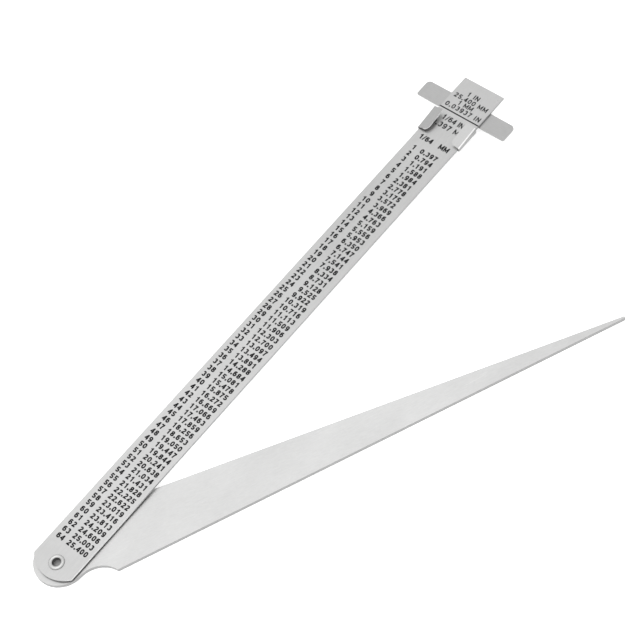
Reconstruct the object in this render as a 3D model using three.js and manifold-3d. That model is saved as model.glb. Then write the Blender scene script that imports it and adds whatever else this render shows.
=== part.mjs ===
// Folding taper gauge: a steel rule and a tapered leaf on one rivet, with a depth clip that slides on the rule.
// Millimetres, +Z up. The origin is the middle of the rivet's flat back face. The rule points along +Y with its
// printed face up, and the leaf is swung open beneath it.
import * as THREE from "three";
import { mergeVertices } from "three/addons/utils/BufferGeometryUtils.js";
import Module from "manifold-3d";

const wasm = await Module();
wasm.setup();

const QUARTER_TURN = Math.PI / 2;

// Rule
const RULE_WIDTH = 12.5;
const RULE_CENTRE_X = -0.2; // the rule's centreline runs this far beside the pivot
const RULE_THICKNESS = 0.5;
const RULE_REACH = 161.6; // pivot to the square free end
const RULE_END_RADIUS = 8.32; // shallow arc at the pivot end
const RULE_END_OVERHANG = 4.02; // pivot to the crown of that arc

// Leaf, drawn folded shut: it points along +Y from the pivot
const LEAF_THICKNESS = 1.0;
const LEAF_AXIS_X = -0.77; // the leaf's centreline runs this far beside the pivot
const LEAF_ROOT_HALF_WIDTH = 9.38; // half width that the two edges would have level with the pivot
const LEAF_HALF_TAPER = THREE.MathUtils.degToRad(3.605);
const LEAF_TIP_RADIUS = 0.3;
const HEAD_Y = 1.1; // pivot to the centre of the round head
const HEAD_RADIUS = 6.8;
const NOTCH_Y = 6.95; // pivot to the centres of the two notches
const NOTCH_OFFSET = 12.14; // centreline to the centre of each notch
const OPENING_ANGLE = THREE.MathUtils.degToRad(29.065);

// Pivot
const PLAY = 0.02; // gap between stacked faces
const SHANK_RADIUS = 1.5;
const PIVOT_HOLE_RADIUS = 1.58;
const BACK_HEAD_RADIUS = 2.9;
const BACK_HEAD_HEIGHT = 0.6;
const BACK_HEAD_ROUNDING = 0.35;
const FLANGE_RADIUS = 2.0;
const FLANGE_HEIGHT = 0.45;
const RIVET_BORE_RADIUS = 1.0;
const RIVET_BORE_DEPTH = 1.45;
const WASHER_RADIUS = 3.5;
const WASHER_THICKNESS = 0.35;

// Depth clip, bent from one sheet, with distances across it taken from the rule's centreline
const SHEET = 0.3;
const CLIP_BACK_GAP = 0.03; // between the rule's back and the clip's plate
const CLIP_SIDE_GAP = 0.2; // between the rule's edge and the clip's side
const WRAP_START = 142.8; // pivot to the near end of the part that wraps round the rule
const WRAP_END = 149.65;
const WING_START = 151.15;
const WING_END = 156.2;
const WING_HALF_SPAN = 14.05;
const WING_NEAR_RADIUS = 0.5;
const WING_FAR_RADIUS = 1.2;
const CLIP_PLATE_HALF_WIDTH = 6.0;
const WRAP_ROOT_X = 3.0; // how far into the clip's plate each side of the wrap starts
const LOWER_BEND_RADIUS = 0.45; // outer radius
const UPPER_BEND_RADIUS = 0.5; // outer radius
const UPPER_BEND_RISE = 0.05; // the upper bend's centre above the printed face, at the near end
const TAB_CLIMB = 0.75; // how much higher the tabs stand at the end next to the wings
const TAB_TILT = THREE.MathUtils.degToRad(13); // each tab rises towards its free edge
const LEFT_TAB_EDGE = 3.6; // to the tab's free edge
const RIGHT_TAB_EDGE = 4.0;
const TAB_CORNER_RADIUS = 1.2;
const CUT_MARGIN = 1.0; // how far a cutting block reaches past what it cuts

// Heights of the stack, from the rivet's back face up
const LEAF_BOTTOM = BACK_HEAD_HEIGHT + PLAY;
const LEAF_TOP = LEAF_BOTTOM + LEAF_THICKNESS;
const WASHER_BOTTOM = LEAF_TOP + PLAY;
const RULE_BOTTOM = WASHER_BOTTOM + WASHER_THICKNESS + PLAY;
const RULE_TOP = RULE_BOTTOM + RULE_THICKNESS;
const FLANGE_BOTTOM = RULE_TOP + PLAY;
const CLIP_PLATE_TOP = RULE_BOTTOM - CLIP_BACK_GAP;
const CLIP_PLATE_BOTTOM = CLIP_PLATE_TOP - SHEET;

const MERGE_DISTANCE = 1e-4;
const SEARCH_TOLERANCE = 1e-6;
const ARC_STEPS = 32;
const TURNING_STEPS = 72;
const BEND_STEPS = 10;

function solidFrom(geometry) {
  const bare = geometry.clone();
  bare.deleteAttribute("normal");
  bare.deleteAttribute("uv");
  const merged = mergeVertices(bare, MERGE_DISTANCE);
  return new wasm.Manifold(
    new wasm.Mesh({
      numProp: 3,
      vertProperties: merged.attributes.position.array,
      triVerts: new Uint32Array(merged.index.array),
    }),
  );
}

function geometryFrom(solid) {
  const mesh = solid.getMesh();
  const geometry = new THREE.BufferGeometry();
  geometry.setAttribute("position", new THREE.BufferAttribute(mesh.vertProperties, 3));
  geometry.setIndex(new THREE.BufferAttribute(mesh.triVerts, 1));
  geometry.computeVertexNormals();
  return geometry;
}

// A shape in X and Y given a thickness, with its underside at a height.
function plate(shape, underside, thickness) {
  const geometry = new THREE.ExtrudeGeometry(shape, {
    depth: thickness,
    bevelEnabled: false,
    curveSegments: ARC_STEPS,
  });
  return geometry.translate(0, 0, underside);
}

// A profile of [radius, height] points turned round the Z axis.
function turned(profile) {
  const points = profile.map(([radius, height]) => new THREE.Vector2(radius, height));
  return new THREE.LatheGeometry(points, TURNING_STEPS).rotateX(QUARTER_TURN);
}

function arcPoints(centreRadius, centreHeight, radius, fromAngle, toAngle) {
  return Array.from({ length: BEND_STEPS + 1 }, (_, i) => {
    const angle = fromAngle + ((toAngle - fromAngle) * i) / BEND_STEPS;
    return [centreRadius + radius * Math.cos(angle), centreHeight + radius * Math.sin(angle)];
  });
}

function pivotHole() {
  const hole = new THREE.Path();
  hole.absarc(0, 0, PIVOT_HOLE_RADIUS, 0, 2 * Math.PI, true);
  return hole;
}

function ruleGeometry() {
  const half = RULE_WIDTH / 2;
  const cornerAngle = Math.acos(half / RULE_END_RADIUS);
  const shape = new THREE.Shape();
  shape.moveTo(RULE_CENTRE_X + half, RULE_REACH);
  shape.lineTo(RULE_CENTRE_X - half, RULE_REACH);
  shape.absarc(
    RULE_CENTRE_X,
    RULE_END_RADIUS - RULE_END_OVERHANG,
    RULE_END_RADIUS,
    Math.PI + cornerAngle,
    2 * Math.PI - cornerAngle,
    false,
  );
  shape.closePath();
  shape.holes.push(pivotHole());
  return plate(shape, RULE_BOTTOM, RULE_THICKNESS);
}

// Distance from the leaf's centreline to its straight edge, at a distance y from the pivot.
function leafHalfWidth(y) {
  return LEAF_ROOT_HALF_WIDTH - y * Math.tan(LEAF_HALF_TAPER);
}

// The distance from the pivot at which a notch's arc meets the straight edge, by repeated halving.
function shoulderDistance(notchRadius) {
  let inside = NOTCH_Y;
  let outside = NOTCH_Y + notchRadius;
  while (outside - inside > SEARCH_TOLERANCE) {
    const y = (inside + outside) / 2;
    const reach = Math.hypot(leafHalfWidth(y) - NOTCH_OFFSET, y - NOTCH_Y);
    if (reach < notchRadius) {
      inside = y;
    } else {
      outside = y;
    }
  }
  return inside;
}

// The outline is symmetric about the leaf's centreline: round head, a notch on each side that the head's arc
// runs into without a corner, a shoulder, then a straight taper to the tip.
function leafGeometry() {
  const neckAngle = Math.atan2(NOTCH_Y - HEAD_Y, NOTCH_OFFSET);
  const notchRadius = Math.hypot(NOTCH_OFFSET, NOTCH_Y - HEAD_Y) - HEAD_RADIUS;
  const shoulder = shoulderDistance(notchRadius);
  const shoulderAngle = Math.atan2(shoulder - NOTCH_Y, leafHalfWidth(shoulder) - NOTCH_OFFSET);
  const apex = LEAF_ROOT_HALF_WIDTH / Math.tan(LEAF_HALF_TAPER);
  const tipCentre = apex - LEAF_TIP_RADIUS / Math.sin(LEAF_HALF_TAPER);
  const right = LEAF_AXIS_X + NOTCH_OFFSET;
  const left = LEAF_AXIS_X - NOTCH_OFFSET;
  const shape = new THREE.Shape();
  shape.absarc(LEAF_AXIS_X, HEAD_Y, HEAD_RADIUS, Math.PI - neckAngle, 2 * Math.PI + neckAngle, false);
  shape.absarc(right, NOTCH_Y, notchRadius, Math.PI + neckAngle, shoulderAngle, true);
  shape.absarc(LEAF_AXIS_X, tipCentre, LEAF_TIP_RADIUS, LEAF_HALF_TAPER, Math.PI - LEAF_HALF_TAPER, false);
  shape.absarc(left, NOTCH_Y, notchRadius, Math.PI - shoulderAngle, -neckAngle, true);
  shape.closePath();
  shape.holes.push(pivotHole());
  return plate(shape, LEAF_BOTTOM, LEAF_THICKNESS);
}

function washerGeometry() {
  const top = WASHER_BOTTOM + WASHER_THICKNESS;
  return turned([
    [PIVOT_HOLE_RADIUS, WASHER_BOTTOM],
    [WASHER_RADIUS, WASHER_BOTTOM],
    [WASHER_RADIUS, top],
    [PIVOT_HOLE_RADIUS, top],
    [PIVOT_HOLE_RADIUS, WASHER_BOTTOM],
  ]);
}

// Semi-tubular rivet: a flat head at the back, and at the front a hollow end rolled out into a flange.
function rivetGeometry() {
  const rimCentre = BACK_HEAD_RADIUS - BACK_HEAD_ROUNDING;
  const flangeTop = FLANGE_BOTTOM + FLANGE_HEIGHT;
  const lipRadius = (FLANGE_RADIUS - RIVET_BORE_RADIUS) / 2;
  const lipCentre = RIVET_BORE_RADIUS + lipRadius;
  const lip = arcPoints(lipCentre, flangeTop - lipRadius, lipRadius, 0, Math.PI).filter(
    ([, height]) => height > FLANGE_BOTTOM,
  );
  return turned([
    [0, 0],
    ...arcPoints(rimCentre, BACK_HEAD_ROUNDING, BACK_HEAD_ROUNDING, -QUARTER_TURN, 0),
    [BACK_HEAD_RADIUS, BACK_HEAD_HEIGHT],
    [SHANK_RADIUS, BACK_HEAD_HEIGHT],
    [SHANK_RADIUS, FLANGE_BOTTOM],
    [FLANGE_RADIUS, FLANGE_BOTTOM],
    ...lip,
    [RIVET_BORE_RADIUS, flangeTop - RIVET_BORE_DEPTH],
    [0, flangeTop - RIVET_BORE_DEPTH],
  ]);
}

// The clip's flat back, with a wing on each side.
function clipPlateSolid() {
  const half = CLIP_PLATE_HALF_WIDTH;
  const nearX = WING_HALF_SPAN - WING_NEAR_RADIUS;
  const farX = WING_HALF_SPAN - WING_FAR_RADIUS;
  const nearY = WING_START + WING_NEAR_RADIUS;
  const farY = WING_END - WING_FAR_RADIUS;
  const shape = new THREE.Shape();
  shape.moveTo(-half, WRAP_START);
  shape.lineTo(half, WRAP_START);
  shape.lineTo(half, WING_START);
  shape.absarc(nearX, nearY, WING_NEAR_RADIUS, -QUARTER_TURN, 0, false);
  shape.absarc(farX, farY, WING_FAR_RADIUS, 0, QUARTER_TURN, false);
  shape.absarc(-farX, farY, WING_FAR_RADIUS, QUARTER_TURN, Math.PI, false);
  shape.absarc(-nearX, nearY, WING_NEAR_RADIUS, Math.PI, Math.PI + QUARTER_TURN, false);
  shape.lineTo(-half, WING_START);
  shape.closePath();
  return solidFrom(plate(shape, CLIP_PLATE_BOTTOM, SHEET));
}

// Lifts what is above the printed face in step with its distance along the wrap.
function climbing(geometry) {
  const position = geometry.getAttribute("position");
  for (let i = 0; i < position.count; i += 1) {
    const z = position.getZ(i);
    if (z > RULE_TOP) {
      const along = (position.getY(i) - WRAP_START) / (WRAP_END - WRAP_START);
      position.setZ(i, z + TAB_CLIMB * along);
    }
  }
  return geometry;
}

function tabEdge(side) {
  return side > 0 ? RIGHT_TAB_EDGE : LEFT_TAB_EDGE;
}

// One side of the wrap, as a profile across the rule: side is 1 for +X and -1 for -X.
function wrapSolid(side) {
  const wallX = RULE_WIDTH / 2 + CLIP_SIDE_GAP + SHEET;
  const lowX = wallX - LOWER_BEND_RADIUS;
  const lowZ = CLIP_PLATE_BOTTOM + LOWER_BEND_RADIUS;
  const highX = wallX - UPPER_BEND_RADIUS;
  const highZ = RULE_TOP + UPPER_BEND_RISE;
  const turn = QUARTER_TURN - TAB_TILT;
  const shape = new THREE.Shape();
  const corner = (x, z) => shape.lineTo(side * x, z);
  const bend = (x, z, radius, from, to) => {
    const start = side > 0 ? from : Math.PI - from;
    const end = side > 0 ? to : Math.PI - to;
    shape.absarc(side * x, z, radius, start, end, end < start);
  };
  const tabLength = (highX + UPPER_BEND_RADIUS * Math.cos(turn) - tabEdge(side)) / Math.cos(TAB_TILT);
  const tabEnd = (radius) => [
    highX + radius * Math.cos(turn) - tabLength * Math.cos(TAB_TILT),
    highZ + radius * Math.sin(turn) + tabLength * Math.sin(TAB_TILT),
  ];
  shape.moveTo(side * WRAP_ROOT_X, CLIP_PLATE_BOTTOM);
  bend(lowX, lowZ, LOWER_BEND_RADIUS, -QUARTER_TURN, 0);
  bend(highX, highZ, UPPER_BEND_RADIUS, 0, turn);
  corner(...tabEnd(UPPER_BEND_RADIUS));
  corner(...tabEnd(UPPER_BEND_RADIUS - SHEET));
  bend(highX, highZ, UPPER_BEND_RADIUS - SHEET, turn, 0);
  bend(lowX, lowZ, LOWER_BEND_RADIUS - SHEET, 0, -QUARTER_TURN);
  corner(WRAP_ROOT_X, CLIP_PLATE_TOP);
  shape.closePath();
  const geometry = new THREE.ExtrudeGeometry(shape, {
    depth: WRAP_END - WRAP_START,
    bevelEnabled: false,
    curveSegments: BEND_STEPS,
  });
  return solidFrom(climbing(geometry.rotateX(QUARTER_TURN).translate(0, WRAP_END, 0)));
}

// What is cut away outside a tab's rounded near corner.
function tabCornerCutter(side) {
  const centreX = side * (tabEdge(side) + TAB_CORNER_RADIUS);
  const centreY = WRAP_START + TAB_CORNER_RADIUS;
  const outsideX = side * (tabEdge(side) - CUT_MARGIN);
  const outsideY = WRAP_START - CUT_MARGIN;
  const end = side > 0 ? -Math.PI : 0;
  const shape = new THREE.Shape();
  shape.moveTo(outsideX, outsideY);
  shape.lineTo(centreX, outsideY);
  shape.absarc(centreX, centreY, TAB_CORNER_RADIUS, -QUARTER_TURN, end, side > 0);
  shape.lineTo(outsideX, centreY);
  shape.closePath();
  return solidFrom(plate(shape, RULE_TOP, RULE_WIDTH));
}

function clipGeometry() {
  let clip = clipPlateSolid();
  for (const side of [-1, 1]) {
    clip = clip.add(wrapSolid(side)).subtract(tabCornerCutter(side));
  }
  return geometryFrom(clip).translate(RULE_CENTRE_X, 0, 0);
}

function steel(name, color, roughness) {
  return new THREE.MeshStandardMaterial({ name, color, roughness, metalness: 0.9 });
}

function piece(name, geometry, material) {
  const mesh = new THREE.Mesh(geometry, material);
  mesh.name = name;
  return mesh;
}

const gauge = new THREE.Group();
gauge.add(piece("rule", ruleGeometry(), steel("rule_steel", 0xd0d0d0, 0.38)));
gauge.add(piece("pivot_rivet", rivetGeometry(), steel("rivet_steel", 0xdcdcdc, 0.3)));
gauge.add(piece("pivot_washer", washerGeometry(), steel("washer_steel", 0xc0c0c0, 0.4)));
gauge.add(piece("depth_clip", clipGeometry(), steel("clip_steel", 0xb8b8b8, 0.42)));

const leaf = piece("taper_leaf", leafGeometry(), steel("leaf_steel", 0xdadada, 0.36));
leaf.rotation.z = -OPENING_ANGLE;
gauge.add(leaf);

export default gauge;
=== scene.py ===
"""Folding taper gauge: steel pieces and printed figures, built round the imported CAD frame, in metres."""

import math

import bmesh
import bpy
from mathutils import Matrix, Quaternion, Vector
from mathutils.geometry import delaunay_2d_cdt


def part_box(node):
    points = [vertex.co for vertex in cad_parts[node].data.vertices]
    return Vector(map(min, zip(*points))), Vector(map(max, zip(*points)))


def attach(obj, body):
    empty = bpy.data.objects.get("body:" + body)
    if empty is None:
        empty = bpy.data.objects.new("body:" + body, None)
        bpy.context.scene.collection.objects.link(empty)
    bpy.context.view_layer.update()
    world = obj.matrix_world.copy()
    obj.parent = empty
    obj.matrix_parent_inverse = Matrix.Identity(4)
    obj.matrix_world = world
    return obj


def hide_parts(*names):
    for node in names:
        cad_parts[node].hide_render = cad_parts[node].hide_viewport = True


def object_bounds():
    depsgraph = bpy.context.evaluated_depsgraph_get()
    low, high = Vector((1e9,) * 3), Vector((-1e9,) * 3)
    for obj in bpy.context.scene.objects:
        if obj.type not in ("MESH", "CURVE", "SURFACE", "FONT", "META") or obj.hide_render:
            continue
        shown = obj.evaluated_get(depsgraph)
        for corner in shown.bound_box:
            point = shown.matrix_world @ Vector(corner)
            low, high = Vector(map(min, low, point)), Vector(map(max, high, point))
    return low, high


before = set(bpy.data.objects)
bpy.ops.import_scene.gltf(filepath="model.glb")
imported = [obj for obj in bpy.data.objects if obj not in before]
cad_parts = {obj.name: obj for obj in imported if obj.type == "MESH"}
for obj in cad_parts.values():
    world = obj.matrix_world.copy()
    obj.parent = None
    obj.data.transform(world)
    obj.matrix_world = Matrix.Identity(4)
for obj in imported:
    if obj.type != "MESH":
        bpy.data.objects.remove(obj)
cad_low, cad_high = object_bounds()
rule_low, rule_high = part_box("rule")

MM = 0.001

# ---------------------------------------------------------------- steel pieces
# Each is its CAD solid with flat faces joined up and its arrises rounded over.
WELD_DISTANCE = 0.0005 * MM
FLAT_ANGLE = math.radians(0.5)  # faces that meet at less than this are one flat
ARRIS_ANGLE = math.radians(35)  # edges sharper than this are rounded
BEVEL_SEGMENTS = 3
RULE_ARRIS = 0.05 * MM  # how far each piece's arrises are rounded back
LEAF_ARRIS = 0.06 * MM
CLIP_ARRIS = 0.12 * MM
RIVET_ARRIS = 0.05 * MM
FLAT_WEIGHT = 80  # how strongly large flats set the shading next to them

# ---------------------------------------------------------------- print on the rule
INK_RISE = 0.012 * MM  # top of the ink above the steel
INK_ROOT = 0.004 * MM  # how far the ink's underside is let into the steel
FREE_END = rule_high.y
FACE = rule_high.z

BOLD = 0.25  # stroke widths, as shares of the figure height
LIGHT = 0.205
FIGURE_WIDTH = 0.68  # as a share of its height
LOOP_STEPS = 20  # straight pieces in a full loop
SHORTEST_JOIN = 0.4  # keeps the mitre of a sharp join from running far out
MERGE_REACH = 1e-5  # points of one character nearer than this are one point, on a height of 1

ROWS = 64
ROW_PITCH = 2.0951 * MM
FIRST_ROW = FREE_END - 24.123 * MM  # middle of the first row
FIGURE_HEIGHT = 1.46 * MM
FIGURE_ADVANCE = 1.225 * MM
POINT_ADVANCE = 0.61 * MM
# The table was set in blocks, and both its columns are centred. Each block has its first row and its shift
# along the rule, then for the index column and for the value column the middle in that row and the drift
# from row to row, in mm.
ROW_BLOCKS = (
    (1, 0.0, -3.64, 0.0, 1.09, 0.0),
    (10, -0.08, -3.80, 0.0, 1.52, 0.0145),
    (25, -0.02, -4.17, 0.0103, 1.41, 0.0105),
)
INCH_THOUSANDTHS = 25400  # an inch in thousandths of a millimetre

# Lines of unit marks: stroke and text, then in mm the left and right ends across the rule, the middle's
# distance from the free end and the height. The last two are the table's headings.
UNIT_LINES = (
    (LIGHT, "1 IN", -2.6, 1.1, 3.80, 1.42),
    (LIGHT, "25.400 MM", -5.4, 5.0, 5.55, 1.40),
    (LIGHT, "1 MM", -3.0, 1.6, 7.15, 1.38),
    (LIGHT, "0.03937 IN", -5.7, 5.3, 8.85, 1.42),
    (LIGHT, "1/64 IN", -3.7, 3.0, 12.60, 1.55),
    (LIGHT, "0.397 MM", -5.2, 5.0, 14.95, 1.60),
    (BOLD, "1/64", -4.85, -0.75, 20.50, 1.50),
    (BOLD, "MM", 1.45, 4.45, 20.50, 1.55),
)
CROSS_LINE_FROM_END = 10.40 * MM
CROSS_LINE_WIDTH = 0.34 * MM

# ---------------------------------------------------------------- where materials change
WRAP_REACH = 0.7 * MM  # how far the sides of the clip's wrap stand out from the rule
INSIDE_RULE = 1.0 * MM  # this far in from the rule's edges, an upright face of the clip is a cut one
LOOKS_ALONG = 0.5  # a face looks along an axis if its normal's share of it is more than this
BEND_LEAN = (0.38, 0.85)  # sines of the lean of the clip's faces: past the first, a bend's outside takes a painted highlight; past the second, a side takes painted shade
EDGE_CLEARANCE = 0.1 * MM  # an edge this far above the rule's face is on one of the clip's tabs, and takes a painted highlight
BORE_RADIUS = 1.0 * MM  # of the rivet's hollow end
BORE_DEPTH = 1.45 * MM
FLANGE_RADIUS = 2.0 * MM
# The painted shade on the rivet, down its bore and under its flange's rim: each pair is where it starts, and
# where it comes to its full. It isn't ended below, so the rivet's back head wrongly shows the same zones as
# rings.
BORE_SHADE_RADIUS = (BORE_RADIUS + 0.12 * MM, BORE_RADIUS + 0.02 * MM)
BORE_SHADE_DEPTH = (0.06 * MM, 0.30 * MM)  # below the lip
BORE_LIT_BOTTOM_DEPTH = (BORE_DEPTH - 0.25 * MM, BORE_DEPTH - 0.05 * MM)  # where the painted shade eases, painting the bore's bottom a little lighter
FOOT_SHADE_RADIUS = (FLANGE_RADIUS - 0.25 * MM, FLANGE_RADIUS - 0.10 * MM)
FOOT_SHADE_DEPTH = (0.26 * MM, 0.42 * MM)  # below the lip
PAINTED_EDGE_LIGHT_START = (-1 * MM, 2 * MM)  # along Y, where the painted light on the rule's cut edge beside the leaf comes to its full
PAINTED_EDGE_LIGHT_END = (18 * MM, 28 * MM)  # and where it fades out
# Painted light and shade along the rule and the leaf, which lightens the rule nearer the pivot and darkens
# its free end and both ends of the leaf. Each ramp has its start and end along Y, then the share of the
# steel's tone at either one.
RULE_PAINTED_RAMPS = ((0, 20 * MM, 0.95, 1.0), (55 * MM, 105 * MM, 1.05, 0.945))
LEAF_PAINTED_RAMPS = ((-6 * MM, 6 * MM, 0.94, 1.0), (85 * MM, 115 * MM, 1.0, 0.92))
LEAF_TURN = -29.065  # degrees about Z that the leaf is swung open
# Features of noise per millimetre along X, Y and Z. Grain runs along the axis with the fewest.
RULE_GRAIN = (14.0, 0.22, 14.0)
LEAF_GRAIN = (10.0, 0.5, 10.0)
CLIP_GRAIN = (0.5, 9.0, 9.0)
SHEAR_LINES = (5.0, 5.0, 0.8)
BROAD_PATCHES = (0.11, 0.07, 0.11)
SMALL_PATCHES = (1.3, 0.9, 1.3)
SCRATCH_LINES = (9.0, 0.10, 1.0)
SCRATCH_PATCHES = (0.25, 0.12, 0.2)
NOISE_SPAN = (0.3, 0.7)  # most of a noise's values lie between these
SCRATCH_PATCH_TURN = 17  # degrees between a set of scratches and the patches that it shows in

# ---------------------------------------------------------------- camera and light
# The camera is fitted to the photo, by the rule's edges, the table's rows and the leaf's outline.
CAMERA_PLACE = Vector((275.24, -84.67, 469.49)) * MM
CAMERA_TARGET = Vector((9.25, 85.14, 2.51)) * MM
CAMERA_ROLL = math.radians(-20.28)
CAMERA_LENS = 131.6
CAMERA_SENSOR = 36.0
LIGHT_DIRECTION = Vector((0.10, -0.20, 0.97))
LIGHT_SPREAD = (0.60, 1.00)  # cosines of the angle from that direction between which the light comes up
LIGHT_STRENGTH = (0.92, 1.60)
FLOOR_HALF_WIDTH = 3.0
FLOOR_GAP = 0.02 * MM  # below the lowest part


# ================================================================ figures and marks
def arc(cx, cy, rx, ry, start, end):
    """Points along an ellipse, angles in degrees, in the direction from start to end."""
    steps = max(3, round(abs(end - start) / 360 * LOOP_STEPS))
    angles = (math.radians(start + (end - start) * i / steps) for i in range(steps + 1))
    return [(cx + rx * math.cos(a), cy + ry * math.sin(a)) for a in angles]


def ribbon(points, width):
    """Quads that follow a path with a constant width and mitred joins. A path that ends where it starts is a
    loop. Where a join takes more than the whole of a short piece's inner side, that piece is a triangle."""
    path = [Vector(p) for p in points]
    closed = (path[0] - path[-1]).length < MERGE_REACH
    if closed:
        path.pop()
    count = len(path)
    sides = []
    for i, here in enumerate(path):
        before = path[i - 1] if closed or i > 0 else None
        after = path[(i + 1) % count] if closed or i < count - 1 else None
        into = (here - before).normalized() if before is not None else (after - here).normalized()
        out = (after - here).normalized() if after is not None else into
        middle = (into + out).normalized()
        across = Vector((-middle.y, middle.x))
        reach = width / 2 / max(SHORTEST_JOIN, middle.dot(into))
        sides.append((here + across * reach, here - across * reach))
    last = count if closed else count - 1
    quads = []
    for i in range(last):
        (a, b), (c, d) = sides[i], sides[(i + 1) % count]
        along = path[(i + 1) % count] - path[i]
        left = [a, c] if (c - a).dot(along) > 0 else [(a + c) / 2]
        right = [b, d] if (d - b).dot(along) > 0 else [(b + d) / 2]
        quads.append(left[:1] + right + left[1:])
    return quads


def turned_over(quads, width):
    """The same quads turned half round within the figure's cell, as a 6 turns into a 9."""
    return [[Vector((width - p.x, 1 - p.y)) for p in quad] for quad in quads]


def block(x0, y0, x1, y1):
    return [[Vector((x0, y0)), Vector((x1, y0)), Vector((x1, y1)), Vector((x0, y1))]]


def loop(x0, x1, y0, y1, shoulder):
    """A closed path with straight sides and rounded ends, each end as high as the shoulder."""
    middle, half = (x0 + x1) / 2, (x1 - x0) / 2
    top = arc(middle, y1 - shoulder, half, shoulder, 0, 180)
    bottom = arc(middle, y0 + shoulder, half, shoulder, 180, 360)
    return top + bottom + top[:1]


def make_strokes(t):
    """The strokes of each character as (width, quads), on a height of 1, for a stroke width t."""
    h = t / 2
    w = FIGURE_WIDTH
    low, high, left, right = h, 1 - h, h, w - h
    mid, half = w / 2, w / 2 - h
    six_bowl = ribbon(loop(left, right, low, 0.575, 0.19), t)
    six = six_bowl + ribbon([(left, 0.33)] + arc(mid, 0.68, half, high - 0.68, 180, 28), t)
    m_width = 0.92
    n_width = 0.76
    return {
        "0": (w, ribbon(loop(left, right, low, high, 0.28), t)),
        "1": (w, block(0.28, 0, 0.28 + t, 1) + ribbon([(0.07, 0.71), (0.27, 0.79), (0.38, 0.93)], t * 0.7)),
        "2": (
            w,
            ribbon(arc(mid, 0.69, half, high - 0.69, 172, -38) + [(0.14, 0.14)], t)
            + block(0.02, 0, w - 0.01, t * 0.95),
        ),
        "3": (
            w,
            ribbon(arc(mid, 0.715, half - 0.02, high - 0.715, 163, -90), t)
            + ribbon(arc(mid, 0.32, half, 0.32 - low, 90, -163), t),
        ),
        "4": (
            w,
            block(0.38, 0, 0.38 + t, 1)
            + block(0.0, 0.19, w + 0.01, 0.19 + t * 0.9)
            + ribbon([(0.46, 0.93), (0.10, 0.27)], t * 0.9),
        ),
        "5": (
            w,
            block(0.09, 1 - t * 0.95, w - 0.05, 1)
            + ribbon([(0.17, 0.97), (0.13, 0.47)], t * 0.9)
            + ribbon(arc(mid, 0.33, half, 0.33 - low, 140, -163), t),
        ),
        "6": (w, six),
        "7": (
            w,
            block(0.03, 1 - t * 0.95, w - 0.02, 1) + ribbon([(0.59, 0.91), (0.38, 0.52), (0.27, 0.0)], t),
        ),
        "8": (
            w,
            ribbon(loop(left + 0.02, right - 0.02, 0.53, high, 0.150), t)
            + ribbon(loop(left, right, low, 0.50, 0.160), t),
        ),
        "9": (w, turned_over(six, w)),
        ".": (t + 0.05, block(0, 0, t + 0.05, t + 0.05)),
        "/": (0.42, ribbon([(0.05, -0.02), (0.37, 1.02)], t * 0.75)),
        " ": (0.32, []),
        "I": (t, block(0, 0, t, 1)),
        "N": (
            n_width,
            block(0, 0, t * 0.92, 1)
            + block(n_width - t * 0.92, 0, n_width, 1)
            + ribbon([(t * 0.45, 0.96), (n_width - t * 0.45, 0.04)], t),
        ),
        "M": (
            m_width,
            block(0, 0, t * 0.9, 1)
            + block(m_width - t * 0.9, 0, m_width, 1)
            + ribbon([(t * 0.5, 0.93), (m_width / 2, 0.16)], t * 0.85)
            + ribbon([(m_width / 2, 0.16), (m_width - t * 0.5, 0.93)], t * 0.85),
        ),
    }


def covers(quad, point):
    """Whether a convex quad, either way round, covers a point."""
    turns = [(b - a).cross(point - a) for a, b in zip(quad, quad[1:] + quad[:1])]
    return min(turns) >= 0 or max(turns) <= 0


def merged_outline(quads):
    """Overlapping quads as one flat triangulated sheet: (points, triangles)."""
    points, faces = [], []
    for quad in quads:
        faces.append(list(range(len(points), len(points) + len(quad))))
        points.extend(quad)
    found, _, triangles, *_ = delaunay_2d_cdt(points, [], faces, 0, MERGE_REACH, True)
    inside = []
    for face in triangles:
        centre = sum((found[i] for i in face), Vector((0, 0))) / len(face)
        if any(covers(quad, centre) for quad in quads):
            inside.append(face)
    used = sorted({i for face in inside for i in face})
    place = {old: new for new, old in enumerate(used)}
    return [found[i].copy() for i in used], [[place[i] for i in face] for face in inside]


class PrintPlate:
    """Collects characters and lines, and makes them one mesh of thin ink slabs on the rule's face."""

    def __init__(self):
        self.points = []
        self.faces = []

    def add(self, outline, x, y, size):
        flat, triangles = outline
        if not triangles:
            return
        count = len(flat)
        first = len(self.points)
        for z in (FACE + INK_RISE, FACE - INK_ROOT):
            self.points.extend((x + p.x * size, y + p.y * size, z) for p in flat)
        edges = set()  # an edge between two triangles comes once each way round, and drops out
        for face in triangles:
            top = [first + i for i in face]
            self.faces.append(top)
            self.faces.append([i + count for i in reversed(top)])
            for a, b in zip(top, top[1:] + top[:1]):
                if (b, a) in edges:
                    edges.remove((b, a))
                else:
                    edges.add((a, b))
        for a, b in sorted(edges):
            self.faces.append([b, a, a + count, b + count])

    def finish(self, name, material):
        mesh = bpy.data.meshes.new(name)
        mesh.from_pydata(self.points, [], self.faces)
        mesh.validate()
        mesh.materials.append(material)
        piece = bpy.data.objects.new(name, mesh)
        bpy.context.scene.collection.objects.link(piece)
        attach(piece, "rule")
        return piece


def counter_clockwise(outline):
    flat, triangles = outline
    turned = []
    for face in triangles:
        a, b, c = (flat[i] for i in face)
        turned.append(face if (b - a).cross(c - a) > 0 else face[::-1])
    return flat, turned


def make_font(stroke):
    return {
        character: (width, counter_clockwise(merged_outline(quads)) if quads else ([], []))
        for character, (width, quads) in make_strokes(stroke).items()
    }


def print_figures(plate, font, text, middle, y):
    """Figures of one width each, with a narrower step for a decimal point, centred across the rule."""
    steps = [POINT_ADVANCE if character == "." else FIGURE_ADVANCE for character in text]
    x = middle - sum(steps) / 2
    for character, step in zip(text, steps):
        plate.add(font[character][1], x, y - FIGURE_HEIGHT / 2, FIGURE_HEIGHT)
        x += step


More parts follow.
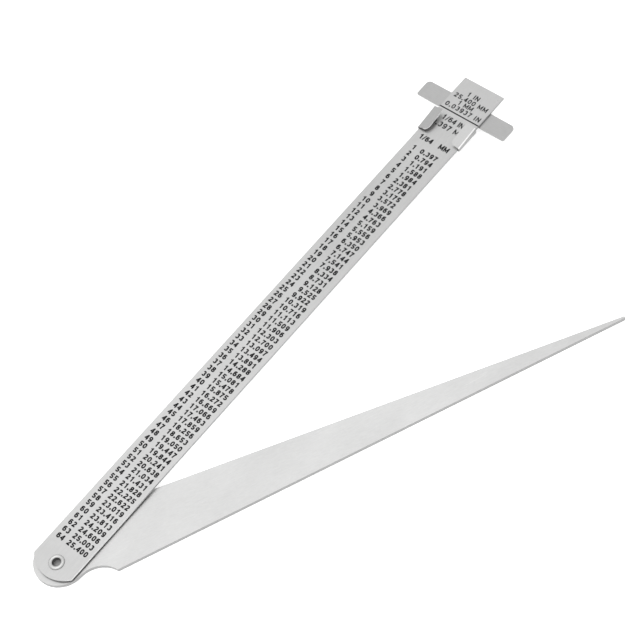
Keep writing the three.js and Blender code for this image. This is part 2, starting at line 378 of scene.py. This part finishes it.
def print_line(plate, font, text, left, right, y, height):
    """Characters spread evenly from left to right."""
    widths = [font[character][0] * height for character in text]
    gap = (right - left - sum(widths)) / (len(text) - 1)
    x = left
    for character, width in zip(text, widths):
        plate.add(font[character][1], x, y - height / 2, height)
        x += width + gap


def print_rule(ink):
    fonts = {stroke: make_font(stroke) for stroke in (BOLD, LIGHT)}
    index, values, units, cross = PrintPlate(), PrintPlate(), PrintPlate(), PrintPlate()
    for row in range(1, ROWS + 1):
        row_block = [place for place in ROW_BLOCKS if row >= place[0]][-1]
        first, shift, index_middle, index_drift, value_middle, value_drift = row_block
        y = FIRST_ROW - (row - 1) * ROW_PITCH + shift * MM
        index_middle += index_drift * (row - first)
        value_middle += value_drift * (row - first)
        thousandths = (2 * row * INCH_THOUSANDTHS + ROWS) // (2 * ROWS)  # rounded half up
        print_figures(index, fonts[BOLD], str(row), index_middle * MM, y)
        print_figures(values, fonts[BOLD], f"{thousandths / 1000:.3f}", value_middle * MM, y)
    for stroke, text, left, right, from_end, height in UNIT_LINES:
        y = FREE_END - from_end * MM
        print_line(units, fonts[stroke], text, left * MM, right * MM, y, height * MM)
    width = rule_high.x - rule_low.x
    line = counter_clockwise(merged_outline(block(0, 0, 1, CROSS_LINE_WIDTH / width)))
    cross.add(line, rule_low.x, FREE_END - CROSS_LINE_FROM_END - CROSS_LINE_WIDTH / 2, width)
    index.finish("index_figures", ink)
    values.finish("millimetre_figures", ink)
    units.finish("unit_marks", ink)
    cross.finish("cross_line", ink)


# ================================================================ materials
def node(tree, kind, **inputs):
    made = tree.nodes.new("ShaderNode" + kind)
    for key, value in inputs.items():
        made.inputs[key.replace("_", " ")].default_value = value
    return made


def new_material(name):
    """A material with its node tree, its shader and the coordinates that are fixed to the piece."""
    material = bpy.data.materials.new(name)
    material.use_nodes = True
    tree = material.node_tree
    coordinates = tree.nodes.new("ShaderNodeTexCoord").outputs["Object"]
    return material, tree, tree.nodes["Principled BSDF"], coordinates


def split(tree, coordinates):
    made = tree.nodes.new("ShaderNodeSeparateXYZ")
    tree.links.new(coordinates, made.inputs["Vector"])
    return made.outputs


def bump(tree, shader, height, depth, strength=1.0):
    made = node(tree, "Bump", Strength=strength, Distance=depth)
    tree.links.new(height, made.inputs["Height"])
    tree.links.new(made.outputs["Normal"], shader.inputs["Normal"])


def stretched_noise(tree, coordinates, per_mm, detail=4.0, roughness=0.6, turn=0.0):
    """Noise with its own number of features per millimetre along each axis, turned about Z in degrees."""
    mapping = tree.nodes.new("ShaderNodeMapping")
    mapping.vector_type = "TEXTURE" if turn else "POINT"
    if turn:
        mapping.inputs["Rotation"].default_value[2] = math.radians(turn)
        mapping.inputs["Scale"].default_value = [1 / (value / MM) for value in per_mm]
    else:
        mapping.inputs["Scale"].default_value = [value / MM for value in per_mm]
    tree.links.new(coordinates, mapping.inputs["Vector"])
    noise = node(tree, "TexNoise", Scale=1.0, Detail=detail, Roughness=roughness)
    tree.links.new(mapping.outputs["Vector"], noise.inputs["Vector"])
    return noise.outputs["Fac"]


def remap(tree, value, low, high, to_low, to_high):
    made = node(tree, "MapRange")
    made.inputs["From Min"].default_value = low
    made.inputs["From Max"].default_value = high
    made.inputs["To Min"].default_value = to_low
    made.inputs["To Max"].default_value = to_high
    tree.links.new(value, made.inputs["Value"])
    return made.outputs["Result"]


def maths(tree, operation, a, b):
    made = tree.nodes.new("ShaderNodeMath")
    made.operation = operation
    for socket, value in zip(made.inputs, (a, b)):
        if isinstance(value, (int, float)):
            socket.default_value = value
        else:
            tree.links.new(value, socket)
    return made.outputs["Value"]


def mixed(tree, factor, a, b):
    made = tree.nodes.new("ShaderNodeMix")
    made.data_type = "RGBA"
    tree.links.new(factor, made.inputs["Factor"])
    for socket, value in ((made.inputs["A"], a), (made.inputs["B"], b)):
        if isinstance(value, tuple):
            socket.default_value = value
        else:
            tree.links.new(value, socket)
    return made.outputs["Result"]


def steel(name, tone, roughness, grain, grain_depth, scratch_turns=(), grain_turn=0.0, painted_light_ramps=()):
    """Brushed sheet steel, with scratches at some angles about Z in degrees. The ramps along Y paint light
    and shade into its tone.
    """
    material, tree, shader, coordinates = new_material(name)
    brushed = stretched_noise(tree, coordinates, grain, detail=5.0, roughness=0.65, turn=grain_turn)
    broad = stretched_noise(tree, coordinates, BROAD_PATCHES, detail=3.0, roughness=0.5)
    mottle = stretched_noise(tree, coordinates, SMALL_PATCHES, detail=4.0, roughness=0.55)

    grain_tone = remap(tree, brushed, *NOISE_SPAN, 0.93, 1.05)
    broad_tone = remap(tree, broad, *NOISE_SPAN, 0.965, 1.035)
    mottle_tone = remap(tree, mottle, *NOISE_SPAN, 0.985, 1.015)
    shade = maths(tree, "MULTIPLY", maths(tree, "MULTIPLY", grain_tone, broad_tone), mottle_tone)

    # Painted light and shade: each ramp scales the tone along Y.
    if painted_light_ramps:
        along = split(tree, coordinates)["Y"]
        for ramp in painted_light_ramps:
            shade = maths(tree, "MULTIPLY", shade, remap(tree, along, *ramp))

    scratches = None
    for turn in scratch_turns:
        fine = stretched_noise(tree, coordinates, SCRATCH_LINES, detail=1.0, roughness=0.4, turn=turn)
        off = turn + SCRATCH_PATCH_TURN
        where = stretched_noise(tree, coordinates, SCRATCH_PATCHES, detail=2.0, roughness=0.5, turn=off)
        line = remap(tree, fine, 0.69, 0.75, 0.0, 1.0)
        patch = remap(tree, where, 0.50, 0.62, 0.0, 1.0)
        mark = maths(tree, "MULTIPLY", line, patch)
        scratches = mark if scratches is None else maths(tree, "MAXIMUM", scratches, mark)
    if scratches is not None:
        shade = maths(tree, "MULTIPLY", shade, remap(tree, scratches, 0.0, 1.0, 1.0, 1.09))

    base = tree.nodes.new("ShaderNodeVectorMath")
    base.operation = "SCALE"
    base.inputs[0].default_value = (tone, tone, tone * 0.995)
    tree.links.new(shade, base.inputs["Scale"])
    tree.links.new(base.outputs["Vector"], shader.inputs["Base Color"])
    shader.inputs["Metallic"].default_value = 1.0

    fine_gloss = remap(tree, brushed, *NOISE_SPAN, roughness - 0.04, roughness + 0.05)
    gloss = maths(tree, "ADD", fine_gloss, remap(tree, broad, *NOISE_SPAN, -0.03, 0.03))
    if scratches is not None:
        gloss = maths(tree, "ADD", gloss, remap(tree, scratches, 0.0, 1.0, 0.0, -0.10))
    tree.links.new(gloss, shader.inputs["Roughness"])

    height = brushed
    if scratches is not None:
        height = maths(tree, "SUBTRACT", brushed, maths(tree, "MULTIPLY", scratches, 0.6))
    bump(tree, shader, height, grain_depth)
    return material


def cut_edge(name, tone, roughness, painted_light=0.0):
    """The sheared edge of a sheet: fine lines through its thickness, with painted light beside the leaf when
    asked for.
    """
    material, tree, shader, coordinates = new_material(name)
    lines = stretched_noise(tree, coordinates, SHEAR_LINES, detail=4.0, roughness=0.6)
    shade = remap(tree, lines, *NOISE_SPAN, tone * 0.92, tone * 1.08)
    # Painted light: the edge is made brighter from the pivot end along the leaf, then it fades out.
    if painted_light:
        along = split(tree, coordinates)["Y"]
        reached = remap(tree, along, *PAINTED_EDGE_LIGHT_START, 0.5, 1.0)
        left_off = remap(tree, along, *PAINTED_EDGE_LIGHT_END, painted_light, 0.0)
        shade = maths(tree, "ADD", shade, maths(tree, "MULTIPLY", reached, left_off))
    tree.links.new(shade, shader.inputs["Base Color"])
    gloss = remap(tree, lines, *NOISE_SPAN, roughness - 0.05, roughness + 0.08)
    tree.links.new(gloss, shader.inputs["Roughness"])
    shader.inputs["Metallic"].default_value = 0.5
    bump(tree, shader, lines, 0.002 * MM)
    return material


def rivet_material():
    """Rolled rivet steel, bright on the lip, with painted shade down the bore and a painted shadow under the
    flange's rim, eased on the bore's bottom.
    """
    material, tree, shader, coordinates = new_material("rivet_steel")
    place = split(tree, coordinates)
    squares = [maths(tree, "POWER", place[axis], 2.0) for axis in ("X", "Y")]
    radius = maths(tree, "SQRT", maths(tree, "ADD", *squares), 0.0)
    mottle = stretched_noise(tree, coordinates, (2.5, 2.5, 2.5), detail=5.0, roughness=0.6)
    lip_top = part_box("pivot_rivet")[1].z
    down = maths(tree, "SUBTRACT", lip_top, place["Z"])
    # Painted shade down the bore, eased near its bottom, which paints the bottom a little lighter.
    in_bore = remap(tree, radius, *BORE_SHADE_RADIUS, 0.0, 1.0)
    deep = remap(tree, down, *BORE_SHADE_DEPTH, 0.0, 0.78)
    bore = maths(tree, "MULTIPLY", in_bore, deep)
    on_bottom = remap(tree, down, *BORE_LIT_BOTTOM_DEPTH, 0.0, 1.0)
    bore = maths(tree, "MULTIPLY", bore, remap(tree, on_bottom, 0.0, 1.0, 1.0, 0.88))
    # Painted shadow under the flange's rim.
    foot = remap(tree, down, *FOOT_SHADE_DEPTH, 0.0, 1.0)
    outside = remap(tree, radius, *FOOT_SHADE_RADIUS, 0.0, 1.0)
    painted_shade = maths(tree, "MAXIMUM", bore, maths(tree, "MULTIPLY", foot, outside))
    painted_shade = maths(tree, "MULTIPLY", painted_shade, remap(tree, mottle, *NOISE_SPAN, 0.90, 1.0))
    patches = remap(tree, mottle, *NOISE_SPAN, 0.0, 1.0)
    dull, bright, painted_shade_tone = (0.54, 0.54, 0.535, 1.0), (0.64, 0.64, 0.635, 1.0), (0.15, 0.15, 0.15, 1.0)
    unshaded = mixed(tree, patches, dull, bright)
    tree.links.new(mixed(tree, painted_shade, unshaded, painted_shade_tone), shader.inputs["Base Color"])
    shader.inputs["Metallic"].default_value = 1.0
    tree.links.new(remap(tree, painted_shade, 0.0, 1.0, 0.27, 0.50), shader.inputs["Roughness"])
    bump(tree, shader, mottle, 0.0015 * MM)
    return material


def ink_material():
    """Black printing ink, slightly uneven where it was pressed onto the brushed steel."""
    material, tree, shader, coordinates = new_material("print_ink")
    uneven = stretched_noise(tree, coordinates, (3.0, 2.0, 3.0), detail=5.0, roughness=0.6)
    worn = remap(tree, uneven, 0.35, 0.75, 0.0, 1.0)
    tone = mixed(tree, worn, (0.006, 0.006, 0.007, 1.0), (0.030, 0.030, 0.031, 1.0))
    tree.links.new(tone, shader.inputs["Base Color"])
    tree.links.new(remap(tree, uneven, *NOISE_SPAN, 0.42, 0.62), shader.inputs["Roughness"])
    shader.inputs["Specular IOR Level"].default_value = 0.12
    bump(tree, shader, uneven, 0.004 * MM, strength=0.4)
    return material


def floor_material():
    material, tree, shader, coordinates = new_material("floor_white")
    uneven = stretched_noise(tree, coordinates, (0.02, 0.02, 0.02), detail=2.0)
    tone = mixed(tree, uneven, (0.90, 0.90, 0.90, 1.0), (0.93, 0.93, 0.93, 1.0))
    tree.links.new(tone, shader.inputs["Base Color"])
    shader.inputs["Roughness"].default_value = 0.9
    shader.inputs["Specular IOR Level"].default_value = 0.1
    shader.inputs["Emission Color"].default_value = (1.0, 1.0, 1.0, 1.0)
    shader.inputs["Emission Strength"].default_value = 0.5
    return material


# ================================================================ steel pieces
def is_cut_edge(face, cad_node):
    """Whether a face is where the sheet was cut through, and not a flat or a side of the clip's wrap."""
    if abs(face.normal.z) > LOOKS_ALONG:
        return False
    x = face.calc_center_median().x
    beside_rule = rule_low.x - WRAP_REACH < x < rule_high.x + WRAP_REACH
    inside_rule = rule_low.x + INSIDE_RULE < x < rule_high.x - INSIDE_RULE
    wraps_rule = abs(face.normal.x) > LOOKS_ALONG and beside_rule and not inside_rule
    return not (cad_node == "depth_clip" and wraps_rule)


def kind_of(face, cut):
    """Which of its piece's materials a face takes: cut is true for a sheared edge or a rounded arris."""
    height = face.calc_center_median().z
    lean = abs(face.normal.x)
    if cut:
        # The tabs' edges take a painted highlight.
        return "raised edge" if height > FACE + EDGE_CLEARANCE else "edge"
    # A side of the wrap takes painted shade, a darker copy of the clip's steel.
    if lean > BEND_LEAN[1]:
        return "side"
    # A bend's outside takes a painted highlight, and a tab's underside takes painted light that lightens the
    # shade beside it.
    outside_bend = face.normal.z > 0 and lean > BEND_LEAN[0]
    inside_tab = face.normal.z < -LOOKS_ALONG and height > FACE
    return "painted_light" if outside_bend or inside_tab else "face"


def finished(cad_node, name, body, materials, arris):
    """A piece that stands for a CAD node: its solid with the flats joined up and the arrises rounded."""
    shape = bmesh.new()
    shape.from_mesh(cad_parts[cad_node].data)
    bmesh.ops.remove_doubles(shape, verts=shape.verts, dist=WELD_DISTANCE)
    bmesh.ops.dissolve_limit(shape, angle_limit=FLAT_ANGLE, verts=shape.verts, edges=shape.edges)
    shape.normal_update()
    kinds = list(materials)
    if len(kinds) > 1:
        for face in shape.faces:
            face.material_index = kinds.index(kind_of(face, is_cut_edge(face, cad_node)))
    arrises = [e for e in shape.edges if e.is_manifold and e.calc_face_angle() > ARRIS_ANGLE]
    rounded = bmesh.ops.bevel(
        shape,
        geom=arrises,
        offset=arris,
        offset_type="OFFSET",
        segments=BEVEL_SEGMENTS,
        profile=0.5,
        affect="EDGES",
        clamp_overlap=True,
    )
    if len(kinds) > 1:
        for face in rounded["faces"]:
            face.material_index = kinds.index(kind_of(face, True))
    for face in shape.faces:
        face.smooth = True
    mesh = bpy.data.meshes.new(name)
    shape.to_mesh(mesh)
    shape.free()
    for material in materials.values():
        mesh.materials.append(material)
    piece = bpy.data.objects.new(name, mesh)
    bpy.context.scene.collection.objects.link(piece)
    smoothing = piece.modifiers.new("flat faces stay flat", "WEIGHTED_NORMAL")
    smoothing.mode = "FACE_AREA"
    smoothing.weight = FLAT_WEIGHT
    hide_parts(cad_node)
    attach(piece, body)
    return piece


def build_steel():
    rule = steel("rule_steel", 0.595, 0.36, RULE_GRAIN, 0.0012 * MM, (8, -31), painted_light_ramps=RULE_PAINTED_RAMPS)
    leaf = steel("leaf_steel", 0.67, 0.38, LEAF_GRAIN, 0.0008 * MM, (-24,), LEAF_TURN, LEAF_PAINTED_RAMPS)
    clip = steel("clip_steel", 0.475, 0.36, CLIP_GRAIN, 0.0014 * MM, (71,))
    clip_materials = {
        "face": clip,
        "edge": cut_edge("clip_edge", 0.36, 0.45),
        # Painted highlight on the tabs' edges.
        "raised edge": cut_edge("clip_painted_edge_highlight", 0.93, 0.30),
        # Painted highlight on the bends and painted light under the tabs.
        "painted_light": steel("clip_painted_light", 0.88, 0.28, CLIP_GRAIN, 0.0008 * MM),
        # Painted shade: a darker copy of the clip's steel for the wrap's sides.
        "side": steel("clip_side_painted_shade", 0.33, 0.36, CLIP_GRAIN, 0.0014 * MM),
    }
    rule_materials = {"face": rule, "edge": cut_edge("rule_edge", 0.32, 0.42, painted_light=0.5)}
    leaf_materials = {"face": leaf, "edge": cut_edge("leaf_edge", 0.33, 0.45)}
    rivet_materials = {"face": rivet_material()}
    finished("rule", "rule_blade", "rule", rule_materials, RULE_ARRIS)
    finished("taper_leaf", "taper_leaf_blade", "leaf", leaf_materials, LEAF_ARRIS)
    finished("depth_clip", "depth_clip_sheet", "clip", clip_materials, CLIP_ARRIS)
    finished("pivot_rivet", "pivot_rivet_turned", "rule", rivet_materials, RIVET_ARRIS)
    finished("pivot_washer", "pivot_washer_ring", "rule", rivet_materials, RIVET_ARRIS)


# ================================================================ stage
def build_floor():
    mesh = bpy.data.meshes.new("floor")
    shape = bmesh.new()
    bmesh.ops.create_grid(shape, x_segments=1, y_segments=1, size=FLOOR_HALF_WIDTH)
    shape.to_mesh(mesh)
    shape.free()
    mesh.materials.append(floor_material())
    floor = bpy.data.objects.new("floor", mesh)
    floor.location = (0, 0, cad_low.z - FLOOR_GAP)
    bpy.context.scene.collection.objects.link(floor)


def build_light():
    """A white room that is brighter overhead, as under a large soft ceiling light."""
    world = bpy.data.worlds.new("studio")
    bpy.context.scene.world = world
    world.use_nodes = True
    tree = world.node_tree
    background = tree.nodes["Background"]
    background.inputs["Color"].default_value = (1.0, 1.0, 1.0, 1.0)
    towards_light = tree.nodes.new("ShaderNodeVectorMath")
    towards_light.operation = "DOT_PRODUCT"
    towards_light.inputs[1].default_value = LIGHT_DIRECTION.normalized()
    tree.links.new(tree.nodes.new("ShaderNodeTexCoord").outputs["Generated"], towards_light.inputs[0])
    strength = node(tree, "MapRange")
    strength.interpolation_type = "SMOOTHSTEP"
    for name, value in zip(("From Min", "From Max", "To Min", "To Max"), (*LIGHT_SPREAD, *LIGHT_STRENGTH)):
        strength.inputs[name].default_value = value
    tree.links.new(towards_light.outputs["Value"], strength.inputs["Value"])
    tree.links.new(strength.outputs["Result"], background.inputs["Strength"])


def build_camera():
    data = bpy.data.cameras.new("camera")
    data.lens = CAMERA_LENS
    data.sensor_width = CAMERA_SENSOR
    data.clip_start = 0.01
    data.clip_end = 20.0
    camera = bpy.data.objects.new("camera", data)
    camera.location = CAMERA_PLACE
    camera.rotation_mode = "QUATERNION"
    aim = (CAMERA_TARGET - CAMERA_PLACE).to_track_quat("-Z", "Y")
    camera.rotation_quaternion = aim @ Quaternion((0, 0, 1), CAMERA_ROLL)
    bpy.context.scene.collection.objects.link(camera)
    bpy.context.scene.camera = camera


build_steel()
print_rule(ink_material())
build_floor()
build_light()
build_camera()
bpy.context.scene.view_settings.view_transform = "Standard"
